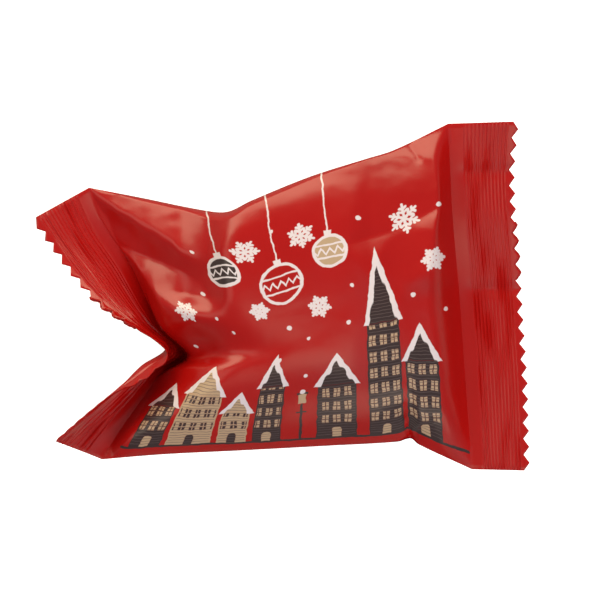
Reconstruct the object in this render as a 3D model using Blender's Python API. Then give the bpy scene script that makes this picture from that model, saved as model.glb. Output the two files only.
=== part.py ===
"""Flow-wrap pack of one fortune cookie, sealed and lying on its back.

One film tube, closed by a toothed and ribbed fin at each end.  The right fin is almost
flat.  The left fin was pushed into the pack at its middle, so it is bent to a V whose
point sits in a deep fold of the front panel.

The pack is a loft of rows from the left teeth to the right teeth.  Every row has a front
half and a back half, so the rows close into one solid.
All sizes below are millimetres; the mesh is written in metres.  X = length, Y = height of
the fins, Z = thickness, with the printed front up.
"""
import math

import bmesh
import bpy
from mathutils import Vector

# ------------------------------------------------------------------ driving sizes (mm)
FIN_THICK = 0.70                  # the two sealed films of a fin
TEETH = 22                        # teeth on each fin
TOOTH_DEPTH = 1.10                # depth of a tooth
TOOTH_BASE = 1.90                 # plain margin from the tooth tips to the last rib
RIBS = 11                         # crimp ribs along each fin
RIB_HEIGHT = 0.15                 # half height of a crimp rib
RIB_START, RIB_END = 0.14, 0.84   # ribbed share of the fin's width
FACE_HEIGHT = 15.4                # top of the front panel above the seams
FACE_BEND_X = 0.0026              # how it falls away to the sides
FACE_BEND_Y = 0.0062              # and to the edges
FACET = (-36.8, 20.6, 0.888, 0.46, 0.80)    # hollow facet: corner, direction, slope
BODY_FOOT, BODY_SLOPE = (-16.5, 9.0), 0.95  # where the body rises out of it
SHOULDER = (22.0, 24.9, 5.9)      # foot of the flat ear at the upper right corner
BACK_BULGE = 14.8                 # back panel below the middle plane
REST_CUT = 0.80                   # how much of the back is pressed flat where it lies
LAP_WIDTH = 11.0                  # long seam on the back
LAP_STEP = 0.55                   # its height over the panel
LAP_EDGE = 0.35                   # how steep its two edges are
OVERHANG = 1.5                    # front panel hanging over the deep fold
BODY_ROWS = 29                    # rows between the two seams
BODY_COLS = 44                    # faces from bottom edge to top edge on the body
LAP_COLS = 6                      # of these, faces across the long seam
FIN_COLS = 22                     # faces along a fin, one for each tooth
NOTCH = 10.0 / 22.0               # where the left fin is bent: the tenth tooth from below

# Outline of the tube, left to right: (x, y)
TOP_EDGE = [(-36.8, 20.6), (-27.0, 18.7), (-14.3, 16.1), (-10.3, 15.9), (-6.0, 17.9),
            (4.7, 22.3), (15.5, 25.8), (21.0, 27.6), (31.3, 32.7)]
BOTTOM_EDGE = [(-34.3, -30.9), (-22.6, -29.9), (-7.5, -29.1), (9.0, -28.2), (21.7, -27.5),
               (24.2, -26.9), (25.6, -28.0), (35.8, -32.8)]
# Left fin, bottom to top: (share of the fin, x, y, z) at its seam and at its tooth tips
LEFT_SEAM = [(0.0, -34.3, -30.9, 1.0), (0.13, -30.8, -25.2, -0.5), (0.27, -26.0, -18.4, -2.5),
             (0.37, -23.0, -14.3, -4.0), (NOTCH, -18.6, -11.3, -5.0), (0.57, -24.3, -4.4, -4.0),
             (0.74, -29.5, 6.5, -2.0), (0.87, -34.4, 14.2, -1.0), (1.0, -36.8, 20.6, 0.0)]
LEFT_TIPS = [(0.0, -42.9, -27.4, 6.0), (0.12, -38.2, -23.3, 7.5), (0.25, -32.7, -18.7, 8.8),
             (0.32, -30.1, -16.3, 9.3), (0.39, -26.8, -13.0, 9.6), (NOTCH, -22.4, -9.8, 8.8),
             (0.523, -26.9, -6.4, 7.0), (0.614, -31.8, -3.9, 5.4), (0.705, -36.3, -0.5, 3.6),
             (0.795, -40.2, 3.8, 1.8), (0.886, -43.6, 8.3, 0.3), (0.977, -46.8, 12.8, -0.6),
             (1.0, -47.9, 14.5, -0.8)]
# Right fin in the same way
RIGHT_SEAM = [(0.0, 35.8, -32.8, 0.6), (0.30, 34.4, -13.0, -0.2), (0.52, 33.4, 1.3, -0.9),
              (0.75, 32.1, 16.0, 0.1), (1.0, 31.3, 32.7, 1.0)]
RIGHT_TIPS = [(0.0, 46.7, -33.0, 2.2), (0.25, 46.4, -16.5, 0.7), (0.43, 45.7, -4.6, -0.7),
              (0.52, 45.4, 1.3, -1.3), (0.61, 45.0, 7.3, -0.8), (0.73, 44.3, 15.2, 0.2),
              (0.86, 44.0, 23.8, 0.3), (1.0, 44.7, 33.1, 2.0)]
# Front panel.  Its upper and lower edge lie above the seams, by x: (x, height)
TOP_LIFT = [(-36.8, 0.0), (-28.9, 0.9), (-22.6, 2.2), (-18.8, 3.2), (-14.0, 5.4), (-10.0, 8.6),
            (-6.0, 9.8), (0.0, 9.4), (12.0, 8.2), (20.0, 4.8), (26.0, 2.2), (31.3, 0.0)]
BOTTOM_LIFT = [(-34.3, 0.0), (-24.0, 1.6), (-8.0, 3.4), (14.0, 3.4), (24.2, 1.8), (35.8, 0.0)]
# From the upper edge a facet starts at this height and climbs at this slope
TOP_WALL = [(-36.8, 0.0), (-34.8, 0.2), (-29.5, 1.55), (-26.8, 2.5), (-24.4, 3.1), (-21.0, 4.0),
            (-18.8, 4.7), (-14.0, 8.2), (-11.5, 10.4), (-9.0, 11.7), (-6.0, 11.7), (0.0, 11.1),
            (12.0, 9.4), (17.0, 6.7), (20.0, 5.1), (26.0, 2.5), (31.3, 0.1)]
TOP_SLOPE = [(-36.8, 0.50), (-28.0, 0.54), (-21.0, 0.62), (-12.0, 0.68), (0.0, 0.70),
             (14.0, 0.68), (20.0, 0.63), (31.3, 0.63)]
# How full the rounded lower side is, by x
BOTTOM_FULL = [(-34.3, 0.55), (-28.0, 0.85), (-20.0, 0.97), (-10.0, 1.0), (18.0, 1.0),
               (24.2, 0.88), (29.3, 0.80), (33.5, 0.60), (35.8, 0.30)]
# Wall at the right seam: (share of the seam from below, height)
RIGHT_WALL = [(0.0, 0.0), (0.08, 1.9), (0.16, 4.7), (0.3, 8.2), (0.55, 10.0), (0.78, 8.8),
              (0.90, 4.8), (1.0, 0.0)]
# Climb from the left seam: (distance, height) below the bend, at it and above it
LEFT_RISE = [(0.0, 0.0), (3.3, 4.6), (8.0, 9.3), (13.0, 12.8), (22.0, 15.6), (34.0, 16.4)]
NOSE_RISE = [(0.0, 0.0), (1.6, 6.0), (4.3, 8.9), (8.0, 11.0), (13.0, 13.4), (22.0, 15.6),
             (34.0, 16.4)]
BULGE_RISE = [(0.0, 0.0), (1.6, 3.2), (3.2, 6.2), (4.5, 8.6), (7.0, 11.2), (13.0, 13.8),
              (22.0, 15.8), (34.0, 16.4)]
# Crease between the hollow facet at the upper left and the bulge below it: (x, y)
RIM = [(-36.0, 11.6), (-30.6, 9.3), (-27.5, 8.2), (-25.0, 7.2), (-22.8, 6.3), (-20.2, 5.2),
       (-17.5, 3.9), (-14.0, 2.2), (-8.0, -2.0)]
# Thickness of the back along the tube: (share of the way between seams, share of the bulge)
BACK_RISE = [(0.0, 0.0), (0.06, 0.25), (0.15, 0.53), (0.30, 0.85), (0.52, 1.0),
             (0.68, 0.93), (0.83, 0.64), (0.93, 0.31), (1.0, 0.0)]
# Folds of the front panel: (x0, y0, x1, y1, height, half width); a valley is below 0
FRONT_FOLDS = [
    (-14.3, 14.5, -13.6, -6.5, -0.35, 2.4), (24.6, -28.0, 22.8, -22.0, -0.9, 1.5),
    (20.0, 15.0, 31.0, 13.0, -0.3, 2.2), (21.5, 1.0, 32.5, 0.0, -0.3, 2.2),
    (22.0, -15.0, 33.5, -17.5, -0.4, 2.4), (-22.0, -14.5, -33.0, -28.5, 0.7, 2.4),
]
# Folds of the back panel in the same way; a ridge stands out from the back
BACK_FOLDS = [
    (-34.0, 17.5, -18.0, 8.0, 1.8, 3.0), (-30.0, 3.0, -16.0, 0.0, -1.3, 3.0),
    (-17.0, -12.0, -4.0, -9.0, -1.5, 3.2), (-32.0, -27.0, -17.0, -19.0, 1.6, 3.0),
    (21.0, 24.0, 30.5, 27.5, 1.4, 2.2), (19.0, 14.0, 31.5, 16.5, -1.2, 2.6),
    (20.0, -16.0, 33.0, -13.5, -1.2, 2.6), (23.0, -24.5, 35.0, -30.0, 1.4, 2.2),
]


# ------------------------------------------------------------------ helpers
def along(stations, place):
    """Smooth curve through stations (place, value, value, ...)."""
    place = min(max(place, stations[0][0]), stations[-1][0])
    k = max(i for i, s in enumerate(stations[:-1]) if s[0] <= place)
    p1, p2 = stations[k], stations[k + 1]
    p0 = stations[max(k - 1, 0)]
    p3 = stations[min(k + 2, len(stations) - 1)]
    h = p2[0] - p1[0]
    f = (place - p1[0]) / h
    out = []
    for c in range(1, len(p1)):
        m1 = (p2[c] - p0[c]) / (p2[0] - p0[0]) * h
        m2 = (p3[c] - p1[c]) / (p3[0] - p1[0]) * h
        a = (2 * f**3 - 3 * f**2 + 1) * p1[c] + (f**3 - 2 * f**2 + f) * m1
        out.append(a + (3 * f**2 - 2 * f**3) * p2[c] + (f**3 - f**2) * m2)
    return out


def step(a, b, v):
    """0 before a, 1 after b, smooth between."""
    f = min(1.0, max(0.0, (v - a) / (b - a)))
    return f * f * (3 - 2 * f)


def hill(centre, half, v):
    return math.exp(-((v - centre) / half) ** 2)


def edge_point(edge, share):
    """Point of the top or bottom edge at a share of its length in x."""
    x = edge[0][0] + (edge[-1][0] - edge[0][0]) * share
    return Vector((x, along(edge, x)[0], 0.0))


def fold_height(folds, x, y):
    """All folds together at one place; each fades out past its two ends."""
    total = 0.0
    for x0, y0, x1, y1, height, half in folds:
        dx, dy = x1 - x0, y1 - y0
        size = math.hypot(dx, dy)
        f = ((x - x0) * dx + (y - y0) * dy) / size**2
        away = ((x - x0) * dy - (y - y0) * dx) / size
        past = max(0.0, -f, f - 1.0) * size
        total += height * math.exp(-(away / half) ** 2 - (past / (1.4 * half)) ** 2)
    return total


# ------------------------------------------------------------------ fins
def left_fin(share, width):
    """Middle of the left fin: width 0 at its seam, 1 at its tooth tips."""
    seam, tips = Vector(along(LEFT_SEAM, share)), Vector(along(LEFT_TIPS, share))
    # below the bend the fin leaves the seam flat and ends upright
    curl = 1.0 - step(NOTCH, 0.60, share)
    p = seam.lerp(tips, 1.0 - (1.0 - width) ** (1.0 + 0.9 * curl))
    p.z = seam.z + (tips.z - seam.z) * width ** (1.0 + 0.4 * curl)
    # below the bend the margin curls over toward the front
    lip = step(0.72, 1.0, width) * hill(0.39, 0.075, share)
    return p + lip * Vector((1.7, -2.0, -0.3))


def right_fin(share, width):
    """Middle of the right fin, with its cross creases."""
    p = Vector(along(RIGHT_SEAM, share)).lerp(Vector(along(RIGHT_TIPS, share)), width)
    crease = 0.45 * hill(0.52, 0.03, share) + 0.30 * hill(0.86, 0.03, share)
    return p - Vector((0.0, 0.0, crease * step(0.0, 0.4, width)))


def fin_row(middle, side, width, cols, rib=0.0, teeth=False):
    """Front and back of one row along a fin, bottom to top."""
    front, back = [], []
    for j in range(cols + 1):
        share = j / cols
        lo, hi = max(0.0, share - 0.004), min(1.0, share + 0.004)
        run = middle(hi, width) - middle(lo, width)
        far = max(width, 0.04)
        out = (middle(share, far) - middle(share, far - 0.04)).normalized()
        normal = side * out.cross(run).normalized()
        p = middle(share, width) - out * (TOOTH_DEPTH if teeth and not j % 2 else 0.0)
        front.append(p + normal * (rib + FIN_THICK / 2))
        back.append(p + normal * (rib - FIN_THICK / 2))
    return front, back


def fin_rows(middle, side):
    """All rows of a fin from its seam to its teeth."""
    rows = [fin_row(middle, side, 0.0, FIN_COLS)]
    for k in range(2 * RIBS):
        width = RIB_START + (RIB_END - RIB_START) * k / (2 * RIBS - 1)
        rows.append(fin_row(middle, side, width, FIN_COLS, RIB_HEIGHT * (1 if k % 2 else -1)))
    reach = (middle(0.8, 1.0) - middle(0.8, 0.0)).length
    rows.append(fin_row(middle, side, 1.0 - TOOTH_BASE / reach, 2 * TEETH))
    rows.append(fin_row(middle, side, 1.0, 2 * TEETH, teeth=True))
    return rows


# ------------------------------------------------------------------ tube between the fins
def spread(j, cols, u):
    """Share from bottom to top of column j: closer together at the rounded edges."""
    rounded = 0.8 * step(0.0, 0.25, u) * step(0.0, 0.2, 1.0 - u)
    even = j / cols
    return even + rounded * (0.5 - 0.5 * math.cos(math.pi * even) - even)


def lap_spread(j, u, height):
    """Shares on the back: the long seam keeps its width and has steep edges."""
    half = LAP_WIDTH / 2 / height
    low = (BODY_COLS - LAP_COLS) // 2 - 1
    if j > BODY_COLS / 2:
        return 1.0 - lap_spread(BODY_COLS - j, u, height)
    if j <= low:
        return spread(j, BODY_COLS, u) / spread(low, BODY_COLS, u) * (0.5 - half)
    inner = half - LAP_EDGE / height
    return 0.5 - inner * (1.0 - (j - low - 1) / (BODY_COLS / 2 - low - 1))


def tube_point(u, share):
    """Middle surface of the tube, blended from its four edges."""
    left, right = Vector(along(LEFT_SEAM, share)), Vector(along(RIGHT_SEAM, share))
    low, top = edge_point(BOTTOM_EDGE, u), edge_point(TOP_EDGE, u)
    corners = (edge_point(BOTTOM_EDGE, 0).lerp(edge_point(BOTTOM_EDGE, 1), u)).lerp(
        edge_point(TOP_EDGE, 0).lerp(edge_point(TOP_EDGE, 1), u), share)
    chord = Vector(LEFT_SEAM[0][1:]).lerp(Vector(LEFT_SEAM[-1][1:]), share)
    p = chord.lerp(right, u) + low.lerp(top, share) - corners
    p += (left - chord) * (1.0 - u) ** 2.2
    p.z = left.z * (1.0 - u) ** 3 + right.z * u**3
    return p


def lower_of(a, b, bend):
    """The lower of two surfaces, with the ridge between them rounded."""
    near = max(bend - abs(a - b), 0.0) / bend
    return min(a, b) - near * near * bend / 4.0


def higher_of(a, b, bend):
    return -lower_of(-a, -b, bend)


def edge_lift(x, share):
    """How far the upper and the lower edge of the tube lie above the seams."""
    return along(TOP_LIFT, x)[0] * share**5 + along(BOTTOM_LIFT, x)[0] * (1 - share) ** 5


def top_side(x, y):
    """Front panel as it climbs from the upper edge: a short wall, then a facet."""
    away = (along(TOP_EDGE, x)[0] - y) * 0.93
    wall, lift = along(TOP_WALL, x)[0], along(TOP_LIFT, x)[0]
    facet = wall + along(TOP_SLOPE, x)[0] * away - 0.0148 * min(away, 14.0) ** 2
    sx, sy, sz = SHOULDER
    shoulder = sz + 0.33 * (sy - y) + higher_of(0.5 * (sx - x), 0.08 * (sx - x), 1.5)
    facet = lower_of(facet, shoulder, 0.3)
    return lower_of(lift + 4.0 * away, facet, 0.05 + 0.8 * (wall - lift))


def bottom_side(x, y):
    """Front panel as it rounds over the lower edge."""
    away = min(max((y - along(BOTTOM_EDGE, x)[0]) / 25.0, 0.0), 1.0)
    lift = along(BOTTOM_LIFT, x)[0]
    full = (FACE_HEIGHT + 0.5) * along(BOTTOM_FULL, x)[0] - lift
    return lift + full * (1.0 - (1.0 - away) ** 2) ** 0.9


def right_side(away, share):
    """Front panel near the right seam: a wall, then nearly flat."""
    wall = along(RIGHT_WALL, share)[0]
    slope = wall + 0.20 * away + 0.030 * away**2
    return lower_of((0.45 + wall / 3.6) * away, slope, 0.6 + 0.40 * wall)


def left_side(x, y, away, share):
    """Front panel near the left seam: a bulge below, a hollow facet above it."""
    fx, fy, dx, dy, slope = FACET
    facet = slope * ((x - fx) * dx + (y - fy) * dy)
    nose = hill(NOTCH, 0.09, share)
    over = step(NOTCH, NOTCH + 0.12, share)
    rise = along(LEFT_RISE, away)[0] * (1 - over) + along(BULGE_RISE, away)[0] * over
    rise = rise * (1 - nose) + along(NOSE_RISE, away)[0] * nose
    bulge = lower_of(rise, facet + 0.85 * (along(RIM, x)[0] - y), 0.8)
    body = BODY_FOOT[1] + BODY_SLOPE * (x - BODY_FOOT[0])
    upper = higher_of(higher_of(facet, bulge, 0.25), body, 1.6)
    share_up = step(0.56, 0.66, share)
    return rise * (1 - share_up) + upper * share_up


def front_height(x, y, u, share, width):
    """Front panel: the lowest of its four sides and its slightly domed face."""
    face = FACE_HEIGHT - FACE_BEND_X * (x - 2.0) ** 2 - FACE_BEND_Y * (y + 2.0) ** 2
    ends = lower_of(top_side(x, y), left_side(x, y, u * width, share), 0.5)
    ends = lower_of(ends, right_side((1.0 - u) * width, share), 0.6)
    ends = lower_of(ends, bottom_side(x, y), 0.8 + 4.2 * step(-10.0, -22.0, x))
    bend = 1.0 + 3.0 * step(12.0, 20.0, x)
    return max(lower_of(ends, face, bend), edge_lift(x, share))


def section(share, u):
    """Cross section of the back: full in the middle of the pack, pointed at the seams."""
    full = step(0.0, 0.30, u) * step(0.0, 0.28, 1.0 - u)
    v = abs(2.0 * share - 1.0)
    low = 1.0 if share < 0.5 else 0.0
    return max(0.0, 1.0 - v ** (2.0 + (1.1 + low) * full)) ** (1.0 - 0.54 * full)


def folded(bulge, folds, p):
    """Height of a panel: its bulge and its folds, which die out where the tube is thin."""
    return FIN_THICK / 2 + bulge + step(0.0, 3.5, bulge) * fold_height(folds, p.x, p.y)


def body_row(u):
    """Front and back of one row across the tube, bottom to top."""
    front, back = [], []
    height = (edge_point(TOP_EDGE, u) - edge_point(BOTTOM_EDGE, u)).length
    for j in range(BODY_COLS + 1):
        share = spread(j, BODY_COLS, u)
        p = tube_point(u, share)
        width = along(RIGHT_SEAM, share)[0] - along(LEFT_SEAM, share)[0]
        z = folded(front_height(p.x, p.y, u, share, width), FRONT_FOLDS, p)
        hang = OVERHANG * hill(0.55, 0.09, share) * hill(0.055, 0.05, u) * step(0, 0.03, u)
        front.append(p + Vector((-0.8 * hang, -0.6 * hang, z)))

        share = lap_spread(j, u, height)
        p = tube_point(u, share)
        z = folded(BACK_BULGE * along(BACK_RISE, u)[0] * section(share, u), BACK_FOLDS, p)
        z -= edge_lift(p.x, share)
        low = (BODY_COLS - LAP_COLS) // 2
        if low <= j <= BODY_COLS - low:
            z += LAP_STEP * step(0, 0.05, u) * step(0, 0.05, 1 - u)
        back.append(p - Vector((0.0, 0.0, z)))
    return front, back


# ------------------------------------------------------------------ loft
def shares(row):
    """Share of each point along a row by its length."""
    marks = [0.0]
    for a, b in zip(row, row[1:]):
        marks.append(marks[-1] + (b - a).length)
    return [m / marks[-1] for m in marks]


def join_rows(bm, a, b, marks_a, marks_b):
    """Faces between two rows: quads when they match, triangles when they do not."""
    if len(a) == len(b):
        for k in range(len(a) - 1):
            bm.faces.new((a[k], a[k + 1], b[k + 1], b[k]))
        return
    i = k = 0
    while i < len(a) - 1 or k < len(b) - 1:
        if k == len(b) - 1 or (i < len(a) - 1 and marks_a[i + 1] <= marks_b[k + 1] + 1e-6):
            bm.faces.new((a[i], a[i + 1], b[k]))
            i += 1
        else:
            bm.faces.new((a[i], b[k + 1], b[k]))
            k += 1


def build():
    for thing in list(bpy.data.objects):
        bpy.data.objects.remove(thing, do_unlink=True)

    rows = list(reversed(fin_rows(left_fin, -1.0)))
    for k in range(1, BODY_ROWS):
        even = k / BODY_ROWS
        rows.append(body_row(0.55 * even + 0.45 * (0.5 - 0.5 * math.cos(math.pi * even))))
    rows += fin_rows(right_fin, 1.0)

    # press the back flat where it lies, then put the pack on the ground, centred
    lowest = min(p.z for front, back in rows for p in back)
    for front, back in rows:
        for p in back:
            p.z = max(p.z, lowest + REST_CUT)
    points = [p for front, back in rows for p in front + back]
    middle_x = (min(p.x for p in points) + max(p.x for p in points)) / 2
    middle_y = (min(p.y for p in points) + max(p.y for p in points)) / 2
    shift = Vector((middle_x, middle_y, min(p.z for p in points)))

    bm = bmesh.new()
    laid = []
    for front, back in rows:
        made = [[bm.verts.new((p - shift) * 0.001) for p in side] for side in (front, back)]
        laid.append((made[0], made[1], shares(front), shares(back)))
    for (f0, b0, mf0, mb0), (f1, b1, mf1, mb1) in zip(laid, laid[1:]):
        join_rows(bm, f0, f1, mf0, mf1)
        join_rows(bm, b0, b1, mb0, mb1)
        bm.faces.new((f0[0], f1[0], b1[0], b0[0]))
        bm.faces.new((f0[-1], b0[-1], b1[-1], f1[-1]))
    for f, b, _, _ in (laid[0], laid[-1]):
        for k in range(len(f) - 1):
            bm.faces.new((f[k], f[k + 1], b[k + 1], b[k]))
    bmesh.ops.recalc_face_normals(bm, faces=bm.faces)

    mesh = bpy.data.meshes.new("wrapper")
    bm.to_mesh(mesh)
    bm.free()
    pack = bpy.data.objects.new("wrapper", mesh)
    group = bpy.data.collections.new("wrapped_fortune_cookie")
    bpy.context.scene.collection.children.link(group)
    group.objects.link(pack)
    mesh.shade_smooth()

    film = bpy.data.materials.new("film")
    film.use_nodes = True
    shader = film.node_tree.nodes["Principled BSDF"]
    shader.inputs["Base Color"].default_value = (0.42, 0.015, 0.014, 1.0)
    shader.inputs["Roughness"].default_value = 0.32
    mesh.materials.append(film)
    size = [round(v * 1000, 1) for v in pack.dimensions]
    print("wrapper", size, "mm,", sum(len(f.vertices) - 2 for f in mesh.polygons), "triangles")


build()
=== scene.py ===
# %% [markdown]
# # A wrapped fortune cookie
# The object is one sealed pack of printed red film, lying on its back.  The solid model of it
# is loaded first and stays as it is: it gives the size and the place.  This lesson then makes
# the thin, glossy, creased film that is seen, the stage it lies on, its lights and its camera.

# %% Load the solid pack
import math

import bpy
import numpy as np
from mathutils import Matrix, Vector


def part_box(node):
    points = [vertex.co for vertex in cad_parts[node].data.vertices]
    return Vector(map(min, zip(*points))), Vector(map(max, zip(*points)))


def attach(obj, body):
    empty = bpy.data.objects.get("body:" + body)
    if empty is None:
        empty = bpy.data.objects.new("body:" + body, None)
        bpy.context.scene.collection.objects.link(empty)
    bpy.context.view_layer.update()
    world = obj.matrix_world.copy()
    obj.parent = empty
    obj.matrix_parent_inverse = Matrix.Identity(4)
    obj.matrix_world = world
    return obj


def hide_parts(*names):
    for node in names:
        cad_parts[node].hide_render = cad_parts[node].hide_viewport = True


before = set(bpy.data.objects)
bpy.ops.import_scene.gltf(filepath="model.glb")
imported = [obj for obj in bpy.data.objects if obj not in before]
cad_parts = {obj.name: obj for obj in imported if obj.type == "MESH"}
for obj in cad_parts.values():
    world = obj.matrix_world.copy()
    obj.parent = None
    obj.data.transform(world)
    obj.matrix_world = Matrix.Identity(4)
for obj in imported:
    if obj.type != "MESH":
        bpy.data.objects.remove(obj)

MM = 0.001
solid_low, solid_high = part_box("wrapper")
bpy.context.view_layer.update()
print("solid pack, mm:", [round((b - a) / MM, 1) for a, b in zip(solid_low, solid_high)])


def clear_selection():
    """Nothing selected, so that an operator touches only what is picked next."""
    bpy.ops.object.select_all(action="DESELECT")


def pick(*things):
    """Select these objects alone; the last one is the active one."""
    clear_selection()
    for thing in things:
        thing.select_set(True)
        bpy.context.view_layer.objects.active = thing


# %% [markdown]
# ## The camera
# The pack lies flat and is seen from straight above, from far away, so that near and far parts
# are drawn at almost one scale.  A long lens does that.  The lens follows from two sizes: how
# far away it is, and how wide a strip of the table it must take in.

# %% Camera
EYE_HEIGHT = 0.80            # above the middle plane of the pack
SEEN_WIDTH = 0.1121          # strip of the table across the picture
MIDDLE_PLANE = 14.9 * MM     # height of the two seams above the table
bpy.ops.object.camera_add(location=(0.0024, 0.0001, MIDDLE_PLANE + EYE_HEIGHT))
camera = bpy.context.object
camera.name = "camera"
camera.data.sensor_width = 36.0
camera.data.lens = 36.0 * EYE_HEIGHT / SEEN_WIDTH
camera.data.clip_end = 10.0
bpy.context.scene.camera = camera
print("lens", round(camera.data.lens), "mm")

# %% [markdown]
# ## Film as a curve of named sizes
# Flow-wrap film comes off a reel, is folded to a tube round the cookie and is cut and sealed at
# both ends by toothed, ribbed jaws.  So every point of the pack is a point of the flat film:
# how far along the tube, and how far up from its lower edge.  The shape is written the same
# way, as smooth curves for the seams and edges, a bulge between them, and folds laid on top.

# %% Sizes of the pack, in millimetres
TEETH = 22
TOOTH_DEPTH = 1.1
FIN_HALF = 0.17              # half the thickness of a sealed fin
FIN_REACH = 13.0             # width of a fin, as flat film
TUBE_RUN = 70.0              # film between the two seams
FILM_HEIGHT = 66.0           # film from lower edge to upper edge
BACK_BULGE = 14.8
NOTCH = 10.0 / 22.0          # where the left fin is bent

TOP_EDGE = [(-36.8, 20.6), (-27.0, 18.7), (-14.3, 16.1), (-10.3, 15.9), (-6.0, 17.9),
            (4.7, 22.3), (15.5, 25.8), (21.0, 27.6), (31.3, 32.7)]
BOTTOM_EDGE = [(-34.3, -30.9), (-22.6, -29.9), (-7.5, -29.1), (9.0, -28.2), (21.7, -27.5),
               (24.2, -26.9), (25.6, -28.0), (35.8, -32.8)]
LEFT_SEAM = [(0.0, -34.3, -30.9, 1.0), (0.13, -30.8, -25.2, -0.5), (0.27, -26.0, -18.4, -2.5),
             (0.37, -23.0, -14.3, -4.0), (NOTCH, -18.6, -11.3, -5.0), (0.57, -24.3, -4.4, -4.0),
             (0.74, -29.5, 6.5, -2.0), (0.87, -34.4, 14.2, -1.0), (1.0, -36.8, 20.6, 0.0)]
LEFT_TIPS = [(0.0, -42.9, -27.4, 6.0), (0.12, -38.2, -23.3, 7.5), (0.25, -32.7, -18.7, 8.8),
             (0.32, -30.1, -16.3, 9.3), (0.39, -26.8, -13.0, 9.6), (NOTCH, -22.4, -9.8, 8.8),
             (0.523, -26.9, -6.4, 7.0), (0.614, -31.8, -3.9, 5.4), (0.705, -36.3, -0.5, 3.6),
             (0.795, -40.2, 3.8, 1.8), (0.886, -43.6, 8.3, 0.3), (0.977, -46.8, 12.8, -0.6),
             (1.0, -47.9, 14.5, -0.8)]
RIGHT_SEAM = [(0.0, 35.8, -32.8, 0.6), (0.30, 34.4, -13.0, -0.2), (0.52, 33.4, 1.3, -0.9),
              (0.75, 32.1, 16.0, 0.1), (1.0, 31.3, 32.7, 1.0)]
RIGHT_TIPS = [(0.0, 46.7, -33.0, 2.2), (0.25, 46.4, -16.5, 0.7), (0.43, 45.7, -4.6, -0.7),
              (0.52, 45.4, 1.3, -1.3), (0.61, 45.0, 7.3, -0.8), (0.73, 44.3, 15.2, 0.2),
              (0.86, 44.0, 23.8, 0.3), (1.0, 44.7, 33.1, 2.0)]
TOP_LIFT = [(-36.8, 0.0), (-28.9, 0.9), (-22.6, 2.2), (-18.8, 3.2), (-14.0, 5.4), (-10.0, 8.6),
            (-6.0, 9.8), (0.0, 9.4), (12.0, 8.2), (20.0, 4.8), (26.0, 2.2), (31.3, 0.0)]
TOP_WALL = [(-36.8, 0.0), (-34.8, 0.2), (-29.5, 1.55), (-26.8, 2.5), (-24.4, 3.1), (-21.0, 4.0),
            (-18.8, 4.7), (-14.0, 8.2), (-11.5, 10.4), (-9.0, 11.7), (-6.0, 11.7), (0.0, 11.1),
            (12.0, 9.0), (17.0, 6.6), (20.0, 5.1), (26.0, 2.5), (31.3, 0.1)]
TOP_SLOPE = [(-36.8, 0.50), (-28.0, 0.54), (-21.0, 0.60), (-16.5, 0.52), (-12.0, 0.58), (0.0, 0.70),
             (10.0, 0.60), (16.0, 0.56), (20.0, 0.60), (31.3, 0.63)]
BOTTOM_LIFT = [(-34.3, 0.0), (-24.0, 1.6), (-8.0, 3.4), (14.0, 3.4), (24.2, 1.8), (35.8, 0.0)]
BOTTOM_FULL = [(-34.3, 0.55), (-28.0, 0.85), (-20.0, 0.97), (-10.0, 1.0), (18.0, 1.0),
               (24.2, 0.88), (29.3, 0.80), (33.5, 0.60), (35.8, 0.30)]
RIGHT_WALL = [(0.0, 0.0), (0.08, 1.9), (0.16, 4.7), (0.3, 8.2), (0.55, 10.0), (0.78, 8.8),
              (0.90, 4.8), (1.0, 0.0)]
LEFT_RISE = [(0.0, 0.0), (3.3, 4.6), (8.0, 9.3), (13.0, 12.8), (22.0, 15.6), (34.0, 16.4)]
NOSE_RISE = [(0.0, 0.0), (1.6, 6.0), (4.3, 8.9), (8.0, 11.0), (13.0, 13.4), (22.0, 15.6),
             (34.0, 16.4)]
BULGE_RISE = [(0.0, 0.0), (1.6, 3.2), (3.2, 6.2), (4.5, 8.6), (7.0, 11.2), (13.0, 13.8),
              (22.0, 15.8), (34.0, 16.4)]
RIM = [(-36.0, 11.6), (-30.6, 9.3), (-27.5, 8.2), (-25.0, 7.2), (-22.8, 6.3), (-20.2, 5.2),
       (-17.5, 3.9), (-14.0, 2.2), (-8.0, -2.0)]
BACK_RISE = [(0.0, 0.0), (0.06, 0.25), (0.15, 0.53), (0.30, 0.85), (0.52, 1.0),
             (0.68, 0.93), (0.83, 0.64), (0.93, 0.31), (1.0, 0.0)]


# %% Helpers for smooth curves and soft steps
def along(stations, place):
    """Smooth curve through stations (place, value, ...), read at many places at once."""
    table = np.array(stations, float)
    x, v = table[:, 0], table[:, 1:]
    slope = np.empty_like(v)
    slope[1:-1] = (v[2:] - v[:-2]) / (x[2:] - x[:-2])[:, None]
    slope[0] = (v[1] - v[0]) / (x[1] - x[0])
    slope[-1] = (v[-1] - v[-2]) / (x[-1] - x[-2])
    place = np.clip(place, x[0], x[-1])
    k = np.clip(np.searchsorted(x, place, side="right") - 1, 0, len(x) - 2)
    h = (x[k + 1] - x[k])[..., None]
    f = (place - x[k])[..., None] / h
    start = (2 * f**3 - 3 * f**2 + 1) * v[k] + (f**3 - 2 * f**2 + f) * h * slope[k]
    return start + (3 * f**2 - 2 * f**3) * v[k + 1] + (f**3 - f**2) * h * slope[k + 1]


def step(a, b, v):
    """0 before a, 1 after b, smooth between."""
    f = np.clip((v - a) / (b - a), 0.0, 1.0)
    return f * f * (3 - 2 * f)


def hill(centre, half, v):
    return np.exp(-(((v - centre) / half) ** 2))


def edge_points(edge, share):
    """Points of the top or bottom edge at shares of its length in x."""
    x = edge[0][0] + (edge[-1][0] - edge[0][0]) * share
    y = along(edge, x)[..., 0]
    return np.stack([x, y, np.zeros_like(x)], axis=-1)


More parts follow.
